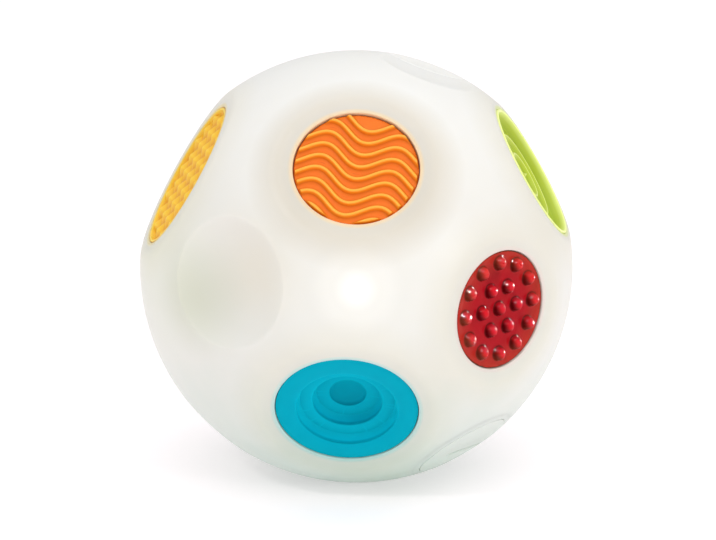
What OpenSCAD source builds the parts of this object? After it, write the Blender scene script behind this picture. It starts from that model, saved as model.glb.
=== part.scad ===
// Light and sound sensory ball: a translucent two-part shell with five textured push pads,
// shallow finger dishes, a turn-off battery cap, and a lamp, speaker and board inside.
// The ball stands on the flat ring of its bottom dish. Z is up and the front faces -Y.

/* [Ball] */
// Outer diameter of the ball
ball_d = 140; // [130:1:160]
// Wall thickness of the shells
wall = 2.8; // [2:0.1:3.4]
// Depth of the fine groove along the seam
seam_groove = 0.5; // [0.3:0.1:0.8]

/* [Push pads] */
// Radius of the orange wave pad
orange_r = 18.7; // [16:0.1:20]
// Radius of the red nub pad
red_r = 18.2; // [16:0.1:20]
// Radius of the blue step pad
blue_r = 21.8; // [19:0.1:23]
// Radius of the green ring pad
green_r = 22.4; // [21:0.1:24.5]
// Radius of the yellow stud pad
yellow_r = 24.6; // [22:0.1:25.2]
// Width of the flat facet around each pad
facet_w = 5.2; // [4:0.1:6]
// Width of the facet around the green pad, which sits further out on the ball
green_facet_w = 2.5; // [2.2:0.1:5.2]
// Depth of each pad's rim below its facet
pad_inset = 0.5; // [0.2:0.1:1]
// Thickness of a pad at its rim
pad_t = 3.6; // [3:0.1:4.4]
// How far a pad can be pushed in
pad_travel = 1.5; // [1:0.1:2]
// Clearance around each pad
pad_gap = 0.35; // [0.3:0.05:0.5]
// Width of the flange that keeps a pad in its collar
lip_w = 1.3; // [1:0.1:1.8]
// Thickness of that flange
lip_t = 1.2; // [1:0.1:1.6]
// Wall of the collar behind each facet
collar_wall = 1.6; // [1.4:0.1:2.2]

/* [Textures] */
// Length of one wave on the orange pad
wave_len = 21; // [16:0.5:26]
// Distance between two wave ribs
wave_pitch = 4.1; // [3.6:0.1:6]
// Half of the wave's swing
wave_swing = 2.6; // [1:0.1:3]
// Height of a wave rib
wave_h = 1.4; // [0.8:0.1:1.8]
// Width of a wave rib at its foot
wave_foot_w = 2.4; // [1.6:0.1:3]
// Width of a wave rib at its crest
wave_crest_w = 0.9; // [0.6:0.1:1.4]
// Radius of a nub on the red pad
nub_r = 1.5; // [1:0.1:1.8]
// Height of a nub
nub_h = 2.8; // [2:0.1:3.4]
// Distance from the middle to the first ring of nubs
nub_ring = 6.8; // [6:0.1:7.2]
// Drop of each step of the blue pad
step_drop = 3.5; // [2.4:0.1:3.6]
// Depth of the dimple in its middle
dimple_depth = 2; // [1:0.1:2.4]
// Depth of the green pad's floor
ring_floor = 3; // [2:0.1:3.2]
// Height of the rings on that floor
ring_h = 1.4; // [0.8:0.1:1.8]
// Width of those rings at their foot
ring_w = 2.2; // [1.6:0.1:3]
// Distance between two studs on the yellow pad
stud_pitch = 7.0; // [5.6:0.1:8]
// Height of a stud
stud_h = 2.2; // [1.4:0.1:2.6]

/* [Dishes] */
// Radius of a large finger dish
dish_r = 19.6; // [17:0.1:20.5]
// Depth of a large dish below its rim
dish_depth = 3.2; // [2:0.1:4]
// Radius of the small dish at the top
small_dish_r = 15.5; // [13:0.1:16.5]
// Depth of the small dish
small_dish_depth = 2.2; // [1.4:0.1:2.8]
// Outer radius of the flat ring that the ball stands on
foot_r = 19; // [17:0.1:21]
// Inner radius of that ring
foot_in_r = 14.5; // [13:0.1:15.5]
// Depth of the dish inside it
foot_depth = 2; // [1.2:0.1:2.6]

/* [Batteries] */
// Diameter of one cell
cell_d = 10.5; // [10:0.1:11]
// Length of one cell without its button
cell_len = 43.7; // [42:0.1:45]
// Radius of the round battery cap
cap_r = 15.2; // [14.8:0.1:16]
// Thickness of the battery cap's plate
cap_t = 2.6; // [2.2:0.1:3]
// Wall of the battery tube
tube_wall = 1.5; // [1.2:0.1:2]
// Turn that frees the battery cap, in degrees
cap_turn = 45; // [30:5:60]

/* [Electronics] */
// Diameter of the speaker
speaker_d = 28; // [24:0.5:28]
// Radius of one speaker hole
speaker_hole_r = 1.1; // [0.8:0.1:1.3]
// Width of the main board
board_w = 56; // [48:1:58]
// Height of the main board
board_h = 40; // [36:1:42]
// Thickness of the boards
board_t = 1.6; // [1:0.1:2]
// Radius of the round lamp board
lamp_board_r = 12.5; // [12:0.1:13]
// Radius of the lamp's diffuser cap
lamp_cap_r = 8.4; // [7:0.1:8.6]
// How far the power slider travels
slider_travel = 3; // [2:0.1:3.4]

/* [Fasteners] */
// Shank radius of the shell screws
screw_r = 1.5; // [1.2:0.1:1.7]
// Head radius of the shell screws
screw_head_r = 2.8; // [2.4:0.1:3]
// Radius of the bosses that take the shell screws
boss_r = 3.8; // [3.6:0.1:4.4]

/* [Hidden] */
$fn = 96;

ball_r = ball_d / 2;
over = 1;      // overrun of every cut
hair = 0.05;   // gap between fixed pieces that only touch
seat_gap = 0.3;  // gap at a soft or moving seat

// The ball's middle sits above the flat ring that it stands on
foot_level = sqrt(ball_r * ball_r - foot_r * foot_r);
mid_z = foot_level;

// Places on the ball as [longitude, latitude] in degrees; longitude 0 is the front
orange_at = [0, 36.5];
red_at = [41, -3.5];
blue_at = [-3, -31.5];
green_at = [79, 30];
yellow_at = [-78.5, 30];
left_dish_at = [-34, 4.5];
top_dish_at = [69, 69.5];
low_left_dish_at = [-86, -48];
rear_high_dish_at = [180, 33];
rear_right_dish_at = [133, 8];
rear_left_dish_at = [-133, 8];
speaker_dish_at = [180, -33];
foot_at = [45, -90];
cap_at = [49.5, -50];
lamp_at = [0, 5];
switch_at = [180, 0];

facet_soft = 1.6;   // half width of the broken edge round a facet
wave_tilt = -15.5;  // turn of the wave pattern, in degrees
nub_turn = 3;       // turn of the nub pattern, in degrees
stud_turn = 45;     // turn of the stud pattern, in degrees
stud_land = 0.4;    // flat land between two studs

function level(r) = sqrt(ball_r * ball_r - r * r);
function facet_ring(r) = r == green_r ? green_facet_w : facet_w;
function facet_level(r) = level(r + facet_ring(r));
function face_level(r) = facet_level(r) - pad_inset;
function collar_r(r) = r + pad_gap + lip_w + collar_wall;
function dish_ball_r(r, depth) = (r * r + depth * depth) / (2 * depth);
function dish_centre(r, depth) = level(r) - depth + dish_ball_r(r, depth);

// Behind a pad's rim face
pad_break = 0.5;     // broken edge of a pad
rim_stop = 1.2;      // free play under the pushed flange
stop_t = 1.2;        // height of the retainer's locating rim
collar_depth = pad_t + lip_t + pad_travel + rim_stop + stop_t;
retainer_t = 1.6;
floor_wall = 1.5;    // thickness of a sunk pad's floor
cup_wall = 1.5;
small_cup_r = 9.4;
switch_w = 6;
switch_h = 3.4;
plunger_r = 1.7;
plunger_h = 0.9;
post_r = 2.6;
post_len = 2.5;
spring_wire_r = 0.45;
spring_coil_r = 6.2;
spring_turns = 4;
spring_steps = 12;
blue_shares = [0.72, 0.5, 0.26];
green_shares = [0.92, 0.64, 0.34];
nub_shares = [[1, 0], [1, 0.45], [0.88, 0.74], [0.6, 0.92], [0.25, 0.99]];
flat_back = pad_t + lip_t;
blue_back = 2 * step_drop + dimple_depth + floor_wall;
spring_room = post_len + pad_travel + seat_gap / 2 + plunger_h + switch_h;

// Each pad as [place, radius, depth of its back, radius of the cup behind it]
orange = [orange_at, orange_r, flat_back, small_cup_r];
red = [red_at, red_r, flat_back, small_cup_r];
blue = [blue_at, blue_r, blue_back, blue_r * blue_shares[1] + floor_wall + lip_w];
green = [green_at, green_r, flat_back, small_cup_r];
yellow = [yellow_at, yellow_r, flat_back, small_cup_r];
pads = [orange, red, blue, green, yellow];
large_dishes = [left_dish_at, low_left_dish_at, rear_high_dish_at, rear_right_dish_at,
    rear_left_dish_at, speaker_dish_at];

function cup_floor(pad) = face_level(pad[1]) - pad[2] - spring_room;

// Shell screws: angle about the Y axis, and distance from it
screw_angles = [105, 205, 335];
screw_inset = 12;      // from the ball's surface to a screw's axis
screw_ring_r = ball_r - screw_inset;
front_boss_len = 13;
pilot_end = 2;         // solid plastic beyond the screw's tip
head_seat_y = 9;       // the head's seat behind the seam
head_t = 2.2;
drill_gap = 0.3;       // clearance round a screw head or shank
socket_r = 1.3;
socket_depth = 1.2;
boss_wall = 1.2;
rear_boss_r = screw_head_r + drill_gap + boss_wall;
rib_w = 2.4;

// Battery cap, its bayonet and the tube
pack_ring_r = cell_d / sqrt(3);
pack_gap = 0.4;        // clearance round the three cells
tube_r = pack_ring_r + cell_d / 2 + pack_gap;
tube_out_r = tube_r + tube_wall;
cap_gap = 0.3;
cap_seat = level(cap_r) - cap_t;
ledge_t = 1.2;
ledge_w = 1.5;
groove_h = 1.8;
groove_w = 1.6;
groove_floor = 0.6;
skirt_wall = 1.4;
skirt_r = cap_r - ledge_w - cap_gap;
lug_w = 7;
lug_play = 0.4;
lug_t = groove_h - lug_play;
lug_r = cap_r - cap_gap / 2;
tube_top = cap_seat - ledge_t - groove_h - groove_floor;
skirt_len = ledge_t + groove_h + groove_floor - cap_gap;
flange_w = 3;
flange_t = 2;
coin_w = 2;
coin_len = 17;
coin_depth = 1.3;
contact_t = 0.6;
contact_gap = 0.1;
button_r = 1.9;
button_h = 0.8;
end_spring_h = 2.2;
end_spring_r = 3.2;
end_spring_wall = 0.7;
cell_top = tube_top - contact_t - contact_gap;
cell_bottom = cell_top - cell_len - button_h;
end_plate_top = cell_bottom - end_spring_h - contact_gap;
tube_floor_top = end_plate_top - contact_t;
wire_hole_r = 2;

// Lamp behind the front wall
lamp_post_r = 1.9;
lamp_post_in = 2.1;
lamp_post_ring = lamp_board_r - lamp_post_in;
lamp_post_angles = [60, 180, 300];
lamp_depth = 17;
lamp_top = ball_r - wall - lamp_depth;
lamp_cap_h = 9;
lamp_cap_wall = 1.2;
led_r = 1.5;
led_h = 2.6;
led_ring = 3.6;
led_base = 0.8;
small_screw_r = 1;
small_head_r = 1.9;
small_head_t = 1.3;
small_screw_len = 6;
pilot_gap = 0.02;

// Main board in the rear half
board_y = 22;
board_inset = 4;
board_post_r = 2.6;
chip_w = 12;
chip_h = 8;
chip_t = 2.4;
sensor_r = 3.5;
sensor_len = 9;

// Speaker behind its dish
speaker_top = dish_centre(dish_r, dish_depth) - dish_ball_r(dish_r, dish_depth) - wall - seat_gap;
speaker_frame_t = 3;
speaker_rim = 1.4;
speaker_cone_r = speaker_d / 2 - speaker_rim;
speaker_cone_h = 4.6;
magnet_r = 9;
magnet_t = 3;
speaker_gap = 0.3;
speaker_wall = 1.6;
speaker_ring_r = speaker_d / 2 + speaker_gap;
speaker_foot = speaker_top - speaker_frame_t;
retain_t = 1.5;
hole_ring = 4.8;

// Power slider in its recess
recess_w = 19;
recess_h = 9;
recess_r = 3;
recess_depth = 2.6;
recess_floor_t = 2.2;
recess_margin = 2.4;
knob_w = 6;
knob_h = 5.4;
knob_t = 2;
knob_rib = 0.5;
stem_w = 3.4;
stem_h = 2.6;
slide_gap = 0.2;
plate_lap = 0.3;   // cover of the slot at the ends of the travel
plate_w = stem_w + 2 * (slider_travel + slide_gap + plate_lap);
plate_h = 5.6;
plate_t = 1.2;
switch_body_w = 9;
switch_body_h = 4.6;
switch_body_t = 3;
switch_board_h = 7.6;
pin_w = 1.4;
pin_len = 1.6;
recess_floor = ball_r - recess_depth;
plate_top = recess_floor - recess_floor_t - slide_gap;
switch_top = plate_top - plate_t - slide_gap;
switch_foot = switch_top - switch_body_t;
switch_post_r = 1.9;
switch_post_x = (plate_w + slider_travel) / 2 + slide_gap + switch_post_r;
switch_board_w = 2 * (switch_post_x + switch_post_r);

module at_mid() translate([0, 0, mid_z]) children();
module ball(r) at_mid() rotate([90, 0, 0]) sphere(r = r, $fn = 180);
module at_place(place) at_mid() rotate([0, 0, place[0]]) rotate([90 - place[1], 0, 0]) children();
module lift(height) translate([0, 0, height]) children();
module turned(points) rotate_extrude() polygon(points);
module disc(r, low, high) lift(low) cylinder(r = r, h = high - low);
module ring(r_in, r_out, low, high) difference() {
    disc(r_out, low, high);
    disc(r_in, low - over, high + over);
}
module block(w, h, low, high) lift((low + high) / 2) cube([w, h, high - low], center = true);
module turns(count, start = 0) for (i = [0:count - 1]) rotate(start + i * 360 / count) children();

// Facet round a pad: flat, with its edge broken where it meets the ball
module facet_cut(r) {
    flat_r = r + facet_ring(r) - facet_soft;
    edge_r = r + facet_ring(r) + facet_soft;
    top = facet_level(r);
    turned([[0, top], [flat_r, top], [edge_r, level(edge_r)], [edge_r, ball_r + over], [0, ball_r + over]]);
}
module dish_cut(r, depth) lift(dish_centre(r, depth)) sphere(r = dish_ball_r(r, depth), $fn = 180);
module dish_back(r, depth) lift(dish_centre(r, depth)) sphere(r = dish_ball_r(r, depth) + wall, $fn = 180);

module pad_bore(pad) {
    r = pad[1] + pad_gap;
    face = face_level(pad[1]);
    disc(r, face - pad_t - over, ball_r + over);
    disc(r + lip_w, face - collar_depth - over, face - pad_t + seat_gap);
}

// All that is hollow inside the shells, less the collars and the backs of dishes and cap seat
module cavity() difference() {
    ball(ball_r - wall);
    for (pad = pads) at_place(pad[0]) {
        disc(collar_r(pad[1]), face_level(pad[1]) - collar_depth, ball_r);
        disc(pad[1] + facet_ring(pad[1]) + facet_soft, facet_level(pad[1]) - wall, ball_r);
    }
    for (place = large_dishes) at_place(place) dish_back(dish_r, dish_depth);
    at_place(top_dish_at) dish_back(small_dish_r, small_dish_depth);
    at_place(foot_at) disc(foot_r + wall / 2, foot_level - foot_depth - wall, ball_r);
    at_place(cap_at) disc(cap_r + wall, tube_top, ball_r);
    at_place(switch_at) block(recess_w + 2 * recess_margin, recess_h + 2 * recess_margin,
        recess_floor - recess_floor_t, ball_r);
}

module rounded_slab(w, h, r, low, high) {
    block(w - 2 * r, h, low, high);
    block(w, h - 2 * r, low, high);
    for (x = [-1, 1], y = [-1, 1]) translate([x * (w / 2 - r), y * (h / 2 - r), 0]) disc(r, low, high);
}

module outer_form(side) difference() {
    intersection() {
        ball(ball_r);
        half_space(side);
    }
    for (pad = pads) at_place(pad[0]) facet_cut(pad[1]);
    for (place = large_dishes) at_place(place) dish_cut(dish_r, dish_depth);
    at_place(top_dish_at) dish_cut(small_dish_r, small_dish_depth);
    at_place(foot_at) {
        disc(ball_r, foot_level, ball_r + over);
        turned([[0, foot_level - foot_depth], [foot_in_r - foot_depth, foot_level - foot_depth],
            [foot_in_r, foot_level], [foot_in_r, foot_level + over], [0, foot_level + over]]);
    }
}

module cap_seat_cut() {
    disc(cap_r + cap_gap, cap_seat, ball_r + over);
    disc(cap_r - ledge_w, tube_top - over, ball_r);
    disc(cap_r - ledge_w + groove_w, tube_top + groove_floor, tube_top + groove_floor + groove_h);
    turns(3, cap_turn) translate([cap_r - ledge_w, 0, 0])
        block(2 * groove_w, lug_w + 2 * cap_gap, tube_top + groove_floor, cap_seat + over);
}

module switch_cut() {
    rounded_slab(recess_w, recess_h, recess_r, recess_floor, ball_r + over);
    block(stem_w + slider_travel + 2 * slide_gap, stem_h + 2 * slide_gap,
        recess_floor - recess_floor_t - over, recess_floor + over);
}

module shell_wall(side) difference() {
    outer_form(side);
    cavity();
    for (pad = pads) at_place(pad[0]) pad_bore(pad);
}

module seam_groove_cut() at_mid() rotate([90, 0, 0]) turned([[ball_r - seam_groove, 0],
    [ball_r + over, seam_groove + over], [ball_r + over, -seam_groove - over]]);

// side is -1 for the front half and 1 for the rear half
module half_space(side) {
    size = ball_d + 2 * over;
    at_mid() translate([0, side * size / 2, 0]) cube(size, center = true);
}

// Local Z runs to the rear and local X away from the Y axis
module at_screws() for (angle = screw_angles) at_mid() rotate([0, -angle, 0])
    translate([screw_ring_r, 0, 0]) rotate([-90, 0, 0]) children();

rib_bite = 0.8; // how much of the wall's thickness a rib starts below its outside
module front_boss() difference() {
    union() {
        disc(boss_r, -front_boss_len, 0);
        translate([(ball_r - rib_bite * wall - screw_ring_r) / 2, 0, -front_boss_len / 2])
            cube([ball_r - rib_bite * wall - screw_ring_r, rib_w, front_boss_len], center = true);
    }
    disc(screw_r + pilot_gap, pilot_end - front_boss_len, over);
}

module lamp_posts() at_place(lamp_at) for (angle = lamp_post_angles) rotate(angle)
    translate([lamp_post_ring, 0, 0]) difference() {
        disc(lamp_post_r, lamp_top, level(lamp_board_r) - wall / 2);
        disc(small_screw_r + pilot_gap, lamp_top - over, lamp_top + small_screw_len);
    }

module front_shell() color("ghostwhite") {
    difference() {
        shell_wall(-1);
        seam_groove_cut();
        at_place(cap_at) cap_seat_cut();
    }
    at_screws() front_boss();
    lamp_posts();
}

module rear_posts() {
    intersection() {
        ball(ball_r - wall / 2);
        union() {
            at_screws() disc(rear_boss_r, 0, ball_r);
            for (x = [-1, 1], z = [-1, 1]) at_mid()
                translate([x * (board_w / 2 - board_inset), 0, z * (board_h / 2 - board_inset)])
                    rotate([-90, 0, 0]) disc(board_post_r, board_y + board_t / 2, ball_r);
            at_place(switch_at) for (x = [-1, 1]) translate([x * switch_post_x, 0, 0])
                disc(switch_post_r, switch_foot, recess_floor - recess_floor_t);
        }
    }
    at_place(speaker_dish_at) ring(speaker_ring_r, speaker_ring_r + speaker_wall, speaker_foot,
        dish_centre(dish_r, dish_depth)
            - sqrt(pow(dish_ball_r(dish_r, dish_depth) + wall / 2, 2) - pow(speaker_ring_r, 2)));
}

module rear_shell() color("ghostwhite") difference() {
    union() {
        shell_wall(1);
        rear_posts();
    }
    seam_groove_cut();
    at_screws() {
        disc(screw_r + drill_gap, -over, head_seat_y + over);
        disc(screw_head_r + drill_gap, head_seat_y, ball_r);
    }
    for (x = [-1, 1], z = [-1, 1]) at_mid()
        translate([x * (board_w / 2 - board_inset), 0, z * (board_h / 2 - board_inset)])
            rotate([-90, 0, 0])
                disc(small_screw_r + pilot_gap, board_y, board_y + board_t / 2 + small_screw_len);
    at_place(switch_at) switch_cut();
    at_place(speaker_dish_at) speaker_holes();
}

module speaker_holes() {
    high = ball_r;
    low = speaker_top;
    disc(speaker_hole_r, low, high);
    turns(6) translate([hole_ring, 0, 0]) disc(speaker_hole_r, low, high);
    turns(12, 15) translate([2 * hole_ring, 0, 0]) disc(speaker_hole_r, low, high);
}

// Common body of the pads: rim, flange and post; the face is shaped by each pad
module pad_blank(pad, sunk = 0) {
    r = pad[1];
    face = face_level(r);
    turned([[0, face - pad[2]], [0, face - sunk], [r - pad_break, face - sunk], [r - pad_break, face],
        [r, face - pad_break], [r, face - pad_t], [r + lip_w, face - pad_t],
        [r + lip_w, face - pad_t - lip_t], [0, face - pad_t - lip_t]]);
    disc(post_r, face - pad[2] - post_len, face - pad_t);
}

function wave(x) = -wave_swing * cos(360 * x / wave_len);
wave_steps = 26;
module wave_band(w, r) polygon(concat(
    [for (i = [0:wave_steps]) let (x = r * (2 * i / wave_steps - 1)) [x, wave(x) + w / 2]],
    [for (i = [wave_steps:-1:0]) let (x = r * (2 * i / wave_steps - 1)) [x, wave(x) - w / 2]]));

module orange_wave_pad() color("darkorange") at_place(orange_at) {
    face = face_level(orange_r);
    sunk = wave_h / 2;
    rows = floor(orange_r / wave_pitch);
    pad_blank(orange, sunk);
    intersection() {
        disc(orange_r - pad_break, face - sunk - over, ball_r);
        rotate(wave_tilt) for (row = [-rows:rows]) translate([0, row * wave_pitch, face - sunk - over]) {
            linear_extrude(over + wave_h / 2) wave_band(wave_foot_w, orange_r);
            linear_extrude(over + wave_h) wave_band(wave_crest_w, orange_r);
        }
    }
}

module nub() turned(concat([[0, -over], [nub_r, -over]],
    [for (share = nub_shares) [nub_r * share[0], nub_h * share[1]]], [[0, nub_h]]));

module red_nub_pad() color("crimson") at_place(red_at) {
    pad_blank(red, pad_break);
    lift(face_level(red_r) - pad_break) {
        nub();
        turns(6, nub_turn) translate([nub_ring, 0, 0]) nub();
        turns(12, nub_turn) translate([2 * nub_ring, 0, 0]) nub();
    }
}

dimple_shape = [0.5, 0.8]; // a point of the dimple's curve, as shares of its radius and depth
module blue_step_pad() color("deepskyblue") at_place(blue_at) {
    r = blue_r;
    face = face_level(r);
    s = [for (share = blue_shares) share * r];
    low = face - 2 * step_drop;
    back = face - blue_back;
    turned([[0, low - dimple_depth], [s[2] * dimple_shape[0], low - dimple_shape[1] * dimple_depth],
        [s[2], low], [s[1], low], [s[1], low + step_drop], [s[0], low + step_drop], [s[0], face],
        [r - pad_break, face], [r, face - pad_break], [r, face - pad_t], [r + lip_w, face - pad_t],
        [r + lip_w, face - pad_t - lip_t], [s[0] + floor_wall, face - pad_t - lip_t],
        [s[1] + floor_wall, face - step_drop - floor_wall - lip_t], [s[1] + floor_wall, low - floor_wall],
        [s[2] + floor_wall, low - floor_wall], [s[2] + floor_wall, back], [0, back]]);
    disc(post_r, back - post_len, back + floor_wall / 2);
}

module green_ring_pad() color("yellowgreen") at_place(green_at) {
    r = green_r;
    face = face_level(r);
    s = [for (share = green_shares) share * r];
    floor_z = face - ring_floor;
    w = ring_w / 2;
    turned([[0, face - flat_back], [0, floor_z + ring_h], [w, floor_z],
        [s[2] - w, floor_z], [s[2], floor_z + ring_h], [s[2] + w, floor_z],
        [s[1] - w, floor_z], [s[1], floor_z + ring_h], [s[1] + w, floor_z],
        [s[0], floor_z], [r - 2 * pad_break, face], [r - pad_break, face], [r, face - pad_break],
        [r, face - pad_t], [r + lip_w, face - pad_t], [r + lip_w, face - flat_back]]);
    disc(post_r, face - flat_back - post_len, face - pad_t);
}

module yellow_stud_pad() color("gold") at_place(yellow_at) {
    face = face_level(yellow_r);
    pad_blank(yellow, pad_break);
    corner_r = (stud_pitch - stud_land) / sqrt(2);
    reach = yellow_r - pad_break - corner_r;
    count = ceil(yellow_r / stud_pitch);
    lift(face - pad_break) rotate(stud_turn) for (i = [-count:count], j = [-count:count])
        if (norm([i, j]) * stud_pitch < reach) translate([i, j] * stud_pitch)
            rotate(45) cylinder(r1 = corner_r, r2 = 0, h = stud_h, $fn = 4);
}

module retainer(pad) color("whitesmoke") at_place(pad[0]) {
    top = face_level(pad[1]) - collar_depth;
    bore_r = pad[1] + pad_gap + lip_w;
    low = cup_floor(pad);
    turned([[0, low - cup_wall], [0, low], [pad[3], low], [pad[3], top], [bore_r - collar_wall, top],
        [bore_r - collar_wall, top + stop_t], [bore_r - hair, top + stop_t], [bore_r - hair, top],
        [collar_r(pad[1]), top], [collar_r(pad[1]), top - retainer_t], [pad[3] + cup_wall, top - retainer_t],
        [pad[3] + cup_wall, low - cup_wall]]);
}
module orange_pad_retainer() retainer(orange);
module red_pad_retainer() retainer(red);
module blue_pad_retainer() retainer(blue);
module green_pad_retainer() retainer(green);
module yellow_pad_retainer() retainer(yellow);

// A coil spring as one swept tube with a hexagonal wire
spring_sides = 6;
module coil(r, wire, low, high, coils) {
    rings = coils * spring_steps;
    rise = high - low - 2 * wire;
    points = [for (i = [0:rings], k = [0:spring_sides - 1])
        let (a = i * 360 / spring_steps, b = k * 360 / spring_sides, out = r + wire * cos(b))
        [out * cos(a), out * sin(a), low + wire + rise * i / rings + wire * sin(b)]];
    sides = [for (i = [0:rings - 1], k = [0:spring_sides - 1])
        let (p = i * spring_sides, q = (k + 1) % spring_sides)
        each [[p + k, p + q, p + spring_sides + q], [p + k, p + spring_sides + q, p + spring_sides + k]]];
    start = [[for (k = [spring_sides - 1:-1:0]) k]];
    end = [[for (k = [0:spring_sides - 1]) rings * spring_sides + k]];
    polyhedron(points = points, faces = concat(sides, start, end));
}
module return_spring(pad) color("silver") at_place(pad[0]) coil(spring_coil_r, spring_wire_r,
    cup_floor(pad) + hair, face_level(pad[1]) - pad[2] - hair, spring_turns);
module orange_return_spring() return_spring(orange);
module red_return_spring() return_spring(red);
module blue_return_spring() return_spring(blue);
module green_return_spring() return_spring(green);
module yellow_return_spring() return_spring(yellow);

module pad_switches() color("dimgray") for (pad = pads) at_place(pad[0]) {
    low = cup_floor(pad);
    block(switch_w, switch_w, low, low + switch_h);
    disc(plunger_r, low + switch_h - plunger_h, low + switch_h + plunger_h);
}

module battery_cap() color("ghostwhite") at_place(cap_at) difference() {
    union() {
        intersection() {
            disc(cap_r, cap_seat + hair, ball_r + over);
            sphere(r = ball_r, $fn = 180);
        }
        ring(skirt_r - skirt_wall, skirt_r, cap_seat - skirt_len, cap_seat + cap_t / 2);
        turns(3) intersection() {
            translate([lug_r / 2 + skirt_r / 4, 0, 0])
                block(lug_r, lug_w, cap_seat - ledge_t - hair - lug_t, cap_seat - ledge_t - hair);
            ring(skirt_r - skirt_wall / 2, lug_r, tube_top, cap_seat);
        }
    }
    block(coin_len, coin_w, level(coin_len / 2) - coin_depth, ball_r + over);
}

module battery_tube() color("whitesmoke") at_place(cap_at) difference() {
    union() {
        disc(tube_out_r, tube_floor_top - tube_wall, tube_top);
        disc(tube_out_r + flange_w, tube_top - flange_t, tube_top);
    }
    disc(tube_r, tube_floor_top, tube_top + over);
    disc(wire_hole_r, tube_floor_top - 2 * tube_wall, tube_floor_top + over);
}

module at_cell(i) rotate(90 + i * 120) translate([pack_ring_r, 0, 0]) children();
module battery_cells() color("dimgray") at_place(cap_at) for (i = [0:2]) at_cell(i) {
    flip = i == 0 ? 1 : 0;
    disc(cell_d / 2 - hair, cell_bottom + flip * button_h, cell_bottom + flip * button_h + cell_len);
    disc(button_r, cell_bottom + (1 - flip) * cell_len, cell_bottom + (1 - flip) * cell_len + button_h);
}

module battery_end_contact() color("silver") at_place(cap_at) {
    difference() {
        disc(tube_r - hair, tube_floor_top, tube_floor_top + contact_t);
        disc(wire_hole_r, tube_floor_top - over, tube_floor_top + contact_t + over);
    }
    for (i = [0:2]) at_cell(i) ring(end_spring_r - end_spring_wall, end_spring_r,
        end_plate_top - contact_t / 2, end_plate_top + end_spring_h);
}

module battery_cap_contact() color("silver") at_place(cap_at)
    disc(tube_r - hair, cell_top + contact_gap, tube_top);

module lamp_board() color("seagreen") at_place(lamp_at) difference() {
    disc(lamp_board_r, lamp_top - board_t, lamp_top);
    for (angle = lamp_post_angles) rotate(angle) translate([lamp_post_ring, 0, 0])
        disc(small_screw_r + drill_gap, lamp_top - board_t - over, lamp_top + over);
}

led_crown = 0.7; // radius of a lamp's top edge as a share of its own
module lamp_leds() color("lightyellow") at_place(lamp_at) turns(3) translate([led_ring, 0, 0])
    turned([[0, lamp_top], [led_r + led_base / 2, lamp_top], [led_r + led_base / 2, lamp_top + led_base],
        [led_r, lamp_top + led_base], [led_r, lamp_top + led_h - led_r / 2],
        [led_r * led_crown, lamp_top + led_h - led_r / 8], [0, lamp_top + led_h]]);

dome_shares = [[1, 0.45], [0.87, 0.74], [0.5, 0.94]]; // of the diffuser's radius and height, side to top
module lamp_diffuser() color("white") at_place(lamp_at) {
    r = lamp_cap_r;
    t = lamp_cap_wall;
    h = lamp_cap_h;
    outside = [for (share = dome_shares) [share[0] * r, lamp_top + share[1] * h]];
    inside = [for (share = dome_shares)
        [share[0] * (r - t), lamp_top + share[1] * h - (share[0] < 1 ? t : 0)]];
    turned([[r - t, lamp_top], [r, lamp_top], outside[0], outside[1], outside[2], [0, lamp_top + h],
        [0, lamp_top + h - t], inside[2], inside[1], inside[0]]);
}

module small_screw(low) {
    disc(small_head_r, low - small_head_t, low);
    disc(small_screw_r, low - small_head_t / 2, low + small_screw_len);
}
module lamp_board_screws() color("silver") at_place(lamp_at) for (angle = lamp_post_angles)
    rotate(angle) translate([lamp_post_ring, 0, 0]) small_screw(lamp_top - board_t);

module main_board() color("seagreen") at_mid() difference() {
    translate([0, board_y, 0]) cube([board_w, board_t, board_h], center = true);
    for (x = [-1, 1], z = [-1, 1])
        translate([x * (board_w / 2 - board_inset), 0, z * (board_h / 2 - board_inset)])
            rotate([-90, 0, 0]) disc(small_screw_r + drill_gap, board_y - board_t, board_y + board_t);
}
module main_board_screws() color("silver") at_mid() for (x = [-1, 1], z = [-1, 1])
    translate([x * (board_w / 2 - board_inset), 0, z * (board_h / 2 - board_inset)])
        rotate([-90, 0, 0]) small_screw(board_y - board_t / 2);
module sound_chip() color("black") at_mid() translate([0, board_y + board_t / 2 + chip_t / 2, chip_h])
    cube([chip_w, chip_t, chip_h], center = true);
module roll_sensor() color("gold") at_mid() translate([0, 0, -chip_h])
    rotate([-90, 0, 0]) disc(sensor_r, board_y + board_t / 2, board_y + board_t / 2 + sensor_len);

cone_dip = 0.8;  // shares of the frame's thickness
dome_dip = 0.6;
module speaker() color("dimgray") at_place(speaker_dish_at) turned([
    [0, speaker_foot - speaker_cone_h - magnet_t], [magnet_r, speaker_foot - speaker_cone_h - magnet_t],
    [magnet_r, speaker_foot - speaker_cone_h], [speaker_cone_r, speaker_foot],
    [speaker_d / 2, speaker_foot], [speaker_d / 2, speaker_top], [speaker_cone_r, speaker_top],
    [magnet_r / 2, speaker_top - cone_dip * speaker_frame_t], [0, speaker_top - dome_dip * speaker_frame_t]]);
module speaker_retainer() color("whitesmoke") at_place(speaker_dish_at)
    ring(speaker_cone_r + speaker_gap, speaker_ring_r + speaker_wall, speaker_foot - retain_t, speaker_foot);

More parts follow.
